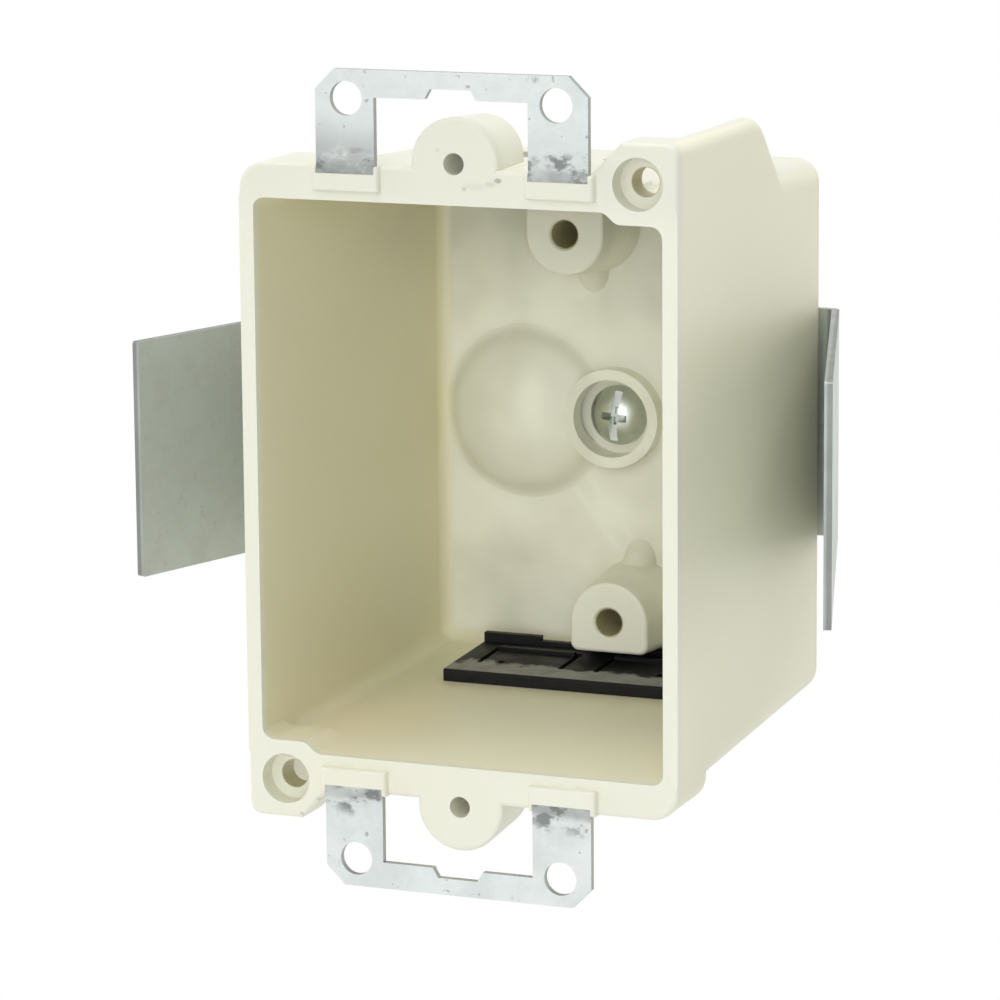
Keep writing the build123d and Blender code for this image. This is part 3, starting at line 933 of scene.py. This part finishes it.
@dataclass(frozen=True)
class Softbox:
    """One area light that looks at the object.

    Args:
        name: The light's name.
        place: Where it hangs, in metres.
        aim: What it looks at, in metres.
        size: Width and height, in metres.
        power: Watts.
        colour: Colour of the light.
    """

    name: str
    place: Triple
    aim: Triple
    size: tuple[float, float]
    power: float
    colour: Colour = (1.0, 1.0, 1.0)

    def build(self) -> None:
        """Adds the light."""
        bpy.ops.object.light_add(type="AREA", location=self.place)
        lamp = bpy.context.object
        lamp.name = self.name
        ahead = Vector(self.aim) - Vector(self.place)
        lamp.rotation_euler = ahead.to_track_quat("-Z", "Y").to_euler()
        lamp.data.shape = "RECTANGLE"
        lamp.data.size, lamp.data.size_y = self.size
        lamp.data.energy = self.power
        lamp.data.color = self.colour


@dataclass(frozen=True)
class PhotoCamera:
    """The photograph's camera, fitted to the box's own edges.

    Args:
        azimuth: How far to the right of straight ahead it stands, in degrees.
        elevation: How far above, in degrees.
        roll: Turn about its own axis, in degrees.
        place: Where it stands, in metres.
        lens: Focal length, in millimetres.
        sensor: Width of the sensor, in millimetres.
        clip: Nearest and furthest distance that it sees, in metres.
    """

    azimuth: float = 22.217
    elevation: float = 11.053
    roll: float = 0.461
    place: Triple = (0.22405, -0.53398, 0.11179)
    lens: float = 166.85
    sensor: float = 36.0
    clip: tuple[float, float] = (0.01, 50.0)

    def build(self) -> None:
        """Adds the camera and makes it the scene's."""
        a = math.radians(self.azimuth)
        e = math.radians(self.elevation)
        r = math.radians(self.roll)
        ahead = Vector((-math.sin(a) * math.cos(e), math.cos(a) * math.cos(e), -math.sin(e)))
        right = Vector((math.cos(a), math.sin(a), 0.0))
        down = ahead.cross(right)
        across = right * math.cos(r) + down * math.sin(r)
        up = right * math.sin(r) - down * math.cos(r)
        turn = Matrix((across, up, -ahead)).transposed().to_4x4()
        bpy.ops.object.camera_add()
        camera = bpy.context.object
        camera.name = "photo_camera"
        camera.matrix_world = Matrix.Translation(self.place) @ turn
        camera.data.lens = self.lens
        camera.data.sensor_width = self.sensor
        camera.data.clip_start, camera.data.clip_end = self.clip
        bpy.context.scene.camera = camera


@dataclass(frozen=True)
class ThreadedScrew:
    """The bracket's screw with its real thread, in place of the plain CAD one.

    Lengths are in millimetres, and depths count from the wall's plane.

    Args:
        seat: Depth of the seat that the head lies on.
        head_radius: Radius of the round head.
        head_height: Height of the head.
        head_side: Straight part below the dome.
        slot_width: Width of the slot.
        slot_depth: Depth of the slot below the dome's top.
        cross_width: Width of a cross arm.
        cross_reach: Length of a cross arm from the middle.
        cross_depth: Depth of the cross below the dome's top.
        cross_taper: Share of an arm's width and length left at its deep end.
        turn: Lean of the slot at rest, in degrees.
        crest: Radius over the thread.
        root: Radius under the thread.
        pitch: Length of one turn.
        thread_start: Depth at which the thread begins.
        end: Depth of the screw's end.
    """

    seat: float = 58.9
    head_radius: float = 4.15
    head_height: float = 2.75
    head_side: float = 0.55
    slot_width: float = 1.15
    slot_depth: float = 1.45
    cross_width: float = 1.1
    cross_reach: float = 2.0
    cross_depth: float = 1.9
    cross_taper: float = 0.5
    turn: float = 6.5
    crest: float = 2.085
    root: float = 1.62
    pitch: float = 0.79375
    thread_start: float = 60.3
    end: float = 84.3
    # Half the flat of the crest, as a share of the pitch
    half_flat: float = 0.0625
    # How far the neck reaches into the head and over the thread, and its end's bevel
    neck_sunk: float = 0.3
    neck_overlap: float = 0.2
    neck_bevel: float = 0.2
    # Sides of the round parts
    dome_sides: int = 64
    thread_sides: int = 28
    neck_sides: int = 56
    # How far a cutter stands out, and size of the plane that becomes the first point
    run_out: float = 1.0
    seed: float = 0.1
    # Distances that count as none, in merging and in cutting; degrees shaded smooth
    weld: float = 0.002
    on_plane: float = 0.0001
    smooth_angle: float = 30.0

    def cut(self, piece: bpy.types.Object, cutter: bpy.types.Object) -> None:
        """Takes one solid out of another and deletes the cutter.

        Args:
            piece: What is cut.
            cutter: What cuts.
        """
        bpy.ops.object.select_all(action="DESELECT")
        bpy.context.view_layer.objects.active = piece
        piece.select_set(True)
        bpy.ops.object.modifier_add(type="BOOLEAN")
        modifier = piece.modifiers[-1]
        modifier.operation, modifier.solver = "DIFFERENCE", "EXACT"
        modifier.object = cutter
        bpy.ops.object.modifier_apply(modifier=modifier.name)
        bpy.data.objects.remove(cutter)

    def bar(self, width: float, height: float, depth: float, taper: float) -> bpy.types.Object:
        """A bar that cuts the head from the front, narrower at its deep end.

        Args:
            width: Across x at the dome's top.
            height: Across z at the dome's top.
            depth: How deep it goes below the dome's top.
            taper: Share of the width and height left at the deep end.

        Returns:
            The bar.
        """
        top = self.seat - self.head_height
        bpy.ops.object.select_all(action="DESELECT")
        bpy.ops.mesh.primitive_cube_add(size=1.0)
        bar = bpy.context.object
        bpy.ops.object.mode_set(mode="EDIT")
        bpy.ops.transform.resize(value=(width * MM, depth * MM, height * MM))
        bpy.ops.transform.translate(value=(0, (top + depth / 2) * MM, 0))
        self.pick(bar, lambda face: face.normal.y > FACING)
        bpy.ops.transform.resize(value=(taper, 1.0, taper))
        self.pick(bar, lambda face: face.normal.y < -FACING)
        self.push((0, -self.run_out, 0))
        bpy.ops.object.mode_set(mode="OBJECT")
        return bar

    def pick(
        self, piece: bpy.types.Object, wanted: Callable[[bmesh.types.BMFace], bool]
    ) -> None:
        """Selects the faces that fit a rule, and only those, in edit mode.

        Args:
            piece: The object in edit mode.
            wanted: Takes a face and says whether it is picked.
        """
        bpy.ops.mesh.select_mode(type="FACE")
        bpy.ops.mesh.select_all(action="DESELECT")
        shape = bmesh.from_edit_mesh(piece.data)
        for face in shape.faces:
            face.select_set(wanted(face))
        bmesh.update_edit_mesh(piece.data)

    def push(self, along: Triple) -> None:
        """Extrudes what is selected by millimetres along each axis."""
        move = tuple(length * MM for length in along)
        bpy.ops.mesh.extrude_region_move(TRANSFORM_OT_translate={"value": move})

    def trim(self, depth: float, away: int) -> None:
        """Cuts off what lies deeper (1) or nearer (-1) than a depth, and closes the cut."""
        bpy.ops.mesh.select_all(action="SELECT")
        bpy.ops.mesh.bisect(
            plane_co=(0, depth * MM, 0),
            plane_no=(0, away, 0),
            use_fill=True,
            clear_outer=True,
            threshold=self.on_plane * MM,
        )

    def head(self) -> bpy.types.Object:
        """The domed head with its slot and cross.

        Returns:
            The head.
        """
        rise = self.head_height - self.head_side
        radius = (self.head_radius**2 + rise**2) / (2 * rise)
        side = self.seat - self.head_side
        middle = (0, (side - rise + radius) * MM, 0)
        bpy.ops.object.select_all(action="DESELECT")
        bpy.ops.mesh.primitive_uv_sphere_add(
            segments=self.dome_sides,
            ring_count=self.dome_sides,
            radius=radius * MM,
            location=middle,
            rotation=(math.radians(90), 0, 0),
        )
        head = bpy.context.object
        bpy.ops.object.transform_apply(location=True, rotation=True, scale=True)
        bpy.ops.object.mode_set(mode="EDIT")
        self.trim(side, 1)
        self.pick(head, lambda face: face.normal.y > FACING)
        self.push((0, self.head_side, 0))
        bpy.ops.object.mode_set(mode="OBJECT")
        arm, width = 2 * self.cross_reach, self.cross_width
        self.cut(head, self.bar(self.slot_width, 3 * self.head_radius, self.slot_depth, 1.0))
        self.cut(head, self.bar(arm, width, self.cross_depth, self.cross_taper))
        self.cut(head, self.bar(width, arm, self.cross_depth, self.cross_taper))
        return head

    def shank(self) -> bpy.types.Object:
        """The threaded shank: one turn's outline drawn out along a helix.

        Returns:
            The shank.
        """
        spare = 1  # turns past each end, which are cut off
        turns = math.ceil((self.end - self.thread_start) / self.pitch) + 2 * spare
        first = self.thread_start - spare * self.pitch
        flat = self.pitch * self.half_flat
        rise, flank = self.crest - self.root, self.pitch / 2 - flat
        bpy.ops.object.select_all(action="DESELECT")
        bpy.ops.mesh.primitive_plane_add(size=self.seed * MM)
        shank = bpy.context.object
        bpy.ops.object.mode_set(mode="EDIT")
        bpy.ops.mesh.select_mode(type="VERT")
        bpy.ops.mesh.select_all(action="SELECT")
        bpy.ops.mesh.merge(type="CENTER")
        bpy.ops.transform.translate(value=(self.root * MM, first * MM, 0))
        for out, along in ((rise, flank), (0.0, 2 * flat), (-rise, flank)):
            self.push((out, along, 0))
        bpy.ops.object.mode_set(mode="OBJECT")
        bpy.ops.object.modifier_add(type="SCREW")
        screw = shank.modifiers[-1]
        screw.axis, screw.screw_offset, screw.iterations = "Y", self.pitch * MM, turns
        screw.steps = screw.render_steps = self.thread_sides
        screw.use_smooth_shade = False
        bpy.ops.object.modifier_apply(modifier=screw.name)
        bpy.ops.object.mode_set(mode="EDIT")
        bpy.ops.mesh.select_all(action="SELECT")
        bpy.ops.mesh.remove_doubles(threshold=self.weld * MM)
        self.trim(self.thread_start, -1)
        self.trim(self.end, 1)
        bpy.ops.mesh.select_all(action="SELECT")
        bpy.ops.mesh.normals_make_consistent(inside=False)
        bpy.ops.object.mode_set(mode="OBJECT")
        return shank

    def neck(self) -> bpy.types.Object:
        """The plain neck between the head and the thread.

        Returns:
            The neck.
        """
        start, stop = self.seat - self.neck_sunk, self.thread_start + self.neck_overlap
        bpy.ops.object.select_all(action="DESELECT")
        bpy.ops.mesh.primitive_cylinder_add(
            vertices=self.neck_sides,
            radius=self.crest * MM,
            depth=(stop - start) * MM,
            location=(0, (start + stop) / 2 * MM, 0),
            rotation=(math.radians(90), 0, 0),
        )
        neck = bpy.context.object
        bpy.ops.object.mode_set(mode="EDIT")
        self.pick(neck, lambda face: face.normal.z < -FACING)
        bpy.ops.mesh.bevel(offset=self.neck_bevel * MM, segments=2)
        bpy.ops.object.mode_set(mode="OBJECT")
        bpy.ops.object.transform_apply(location=True, rotation=True, scale=True)
        return neck

    def build(self, material: bpy.types.Material) -> None:
        """Makes the screw as one piece and puts it in the plain one's place.

        Args:
            material: Its finish.
        """
        head = self.head()
        parts = [head, self.neck(), self.shank()]
        bpy.ops.object.select_all(action="DESELECT")
        for part in parts:
            part.select_set(True)
        bpy.context.view_layer.objects.active = head
        bpy.ops.object.join()
        head.name = "threaded_screw"
        head.rotation_euler = (0, math.radians(self.turn), 0)
        bpy.ops.object.transform_apply(location=True, rotation=True, scale=True)
        bpy.ops.object.shade_smooth_by_angle(angle=math.radians(self.smooth_angle))
        head.data.materials.clear()
        head.data.materials.append(material)
        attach(head, "screw")
        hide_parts("bracket_screw")
        log.info("threaded_screw: %s, in place of bracket_screw", material.name)


class ElectricalBox:
    """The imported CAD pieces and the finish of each."""

    def __init__(self, nodes: dict[str, bpy.types.Object]) -> None:
        """Keeps the nodes.

        Args:
            nodes: CAD node name to object.
        """
        self.nodes = nodes

    def finish(self, material: bpy.types.Material, *names: str) -> None:
        """Gives one finish to some nodes.

        Args:
            material: The finish.
            names: The nodes.
        """
        for name in names:
            node = self.nodes[name]
            node.data.materials.clear()
            node.data.materials.append(material)
            log.info("%s: %s", name, material.name)

    def build(self) -> None:
        """Applies every finish and makes the threaded screw."""
        self.finish(MouldedCompound().build(), "box_body")
        ear_stain = (0.17, 0.18, 0.17)
        ears = Galvanised(
            name="ear_zinc",
            sheet=Sheet.EAR,
            colour=(0.82, 0.86, 0.84),
            dull=(0.70, 0.75, 0.735),
            cut=(0.40, 0.42, 0.395),
            stain=ear_stain,
            metallic=0.5,
            cell_scale=700.0,
            crystal=0.05,
            stained=(0.63, 0.75, 0.0, 0.5),
            pitted=(0.66, 0.74, 0.0, 0.55),
            marks=PadMarks(ear_stain),
        )
        self.finish(ears.build(), "upper_ear", "lower_ear")
        strip = Galvanised(
            name="bracket_zinc",
            sheet=Sheet.WINGS,
            colour=(0.63, 0.675, 0.64),
            dull=(0.58, 0.617, 0.58),
            cut=(0.25, 0.26, 0.245),
            stain=(0.36, 0.38, 0.35),
            metallic=0.7,
            cell_scale=500.0,
            crystal=0.07,
            stained=(0.66, 0.78, 0.0, 0.5),
            pitted=(0.66, 0.74, 0.0, 0.25),
        )
        self.finish(strip.build(), "snap_bracket")
        self.finish(BlackPlastic().build(), "upper_cable_clamp", "lower_cable_clamp")
        ThreadedScrew().build(ZincScrew().build())


AIM = (0.0, 0.03, 0.0)
FRONT_AIM = (0.0, 0.02, 0.0)
RIGHT_AIM = (0.03, 0.03, 0.0)
COOL = (0.96, 1.0, 1.05)
NEUTRAL = (1.0, 0.99, 0.97)
WARM = (1.0, 0.98, 0.84)
LIGHTS = (
    Softbox("camera_side", (0.45, -1.2, 0.15), FRONT_AIM, (0.7, 0.7), 3.7, COOL),
    Softbox("front", (-0.08, -1.3, 0.20), FRONT_AIM, (0.7, 0.4), 1.2),
    Softbox("high", (-0.1, -1.05, 0.60), FRONT_AIM, (0.7, 0.6), 2.7, NEUTRAL),
    Softbox("top", (0.1, 0.1, 1.0), AIM, (1.0, 1.0), 7.8),
    Softbox("left", (-1.2, -0.2, 0.2), AIM, (0.9, 0.9), 3.8),
    Softbox("behind_right", (1.0, 0.7, 0.2), RIGHT_AIM, (0.8, 0.8), 1.95, WARM),
)


def main() -> None:
    """Builds the scene in order."""
    logging.basicConfig(level=logging.INFO, format="%(message)s")
    scene = bpy.context.scene
    scene.view_settings.view_transform = "Standard"
    scene.view_settings.look = "None"
    log.info("frame holds %d nodes", len(frame["nodes"]))
    ElectricalBox(frame["nodes"]).build()
    Stage().build()
    for light in LIGHTS:
        light.build()
    PhotoCamera().build()
    log.info("scene is built")


if __name__ == "__main__":
    main()
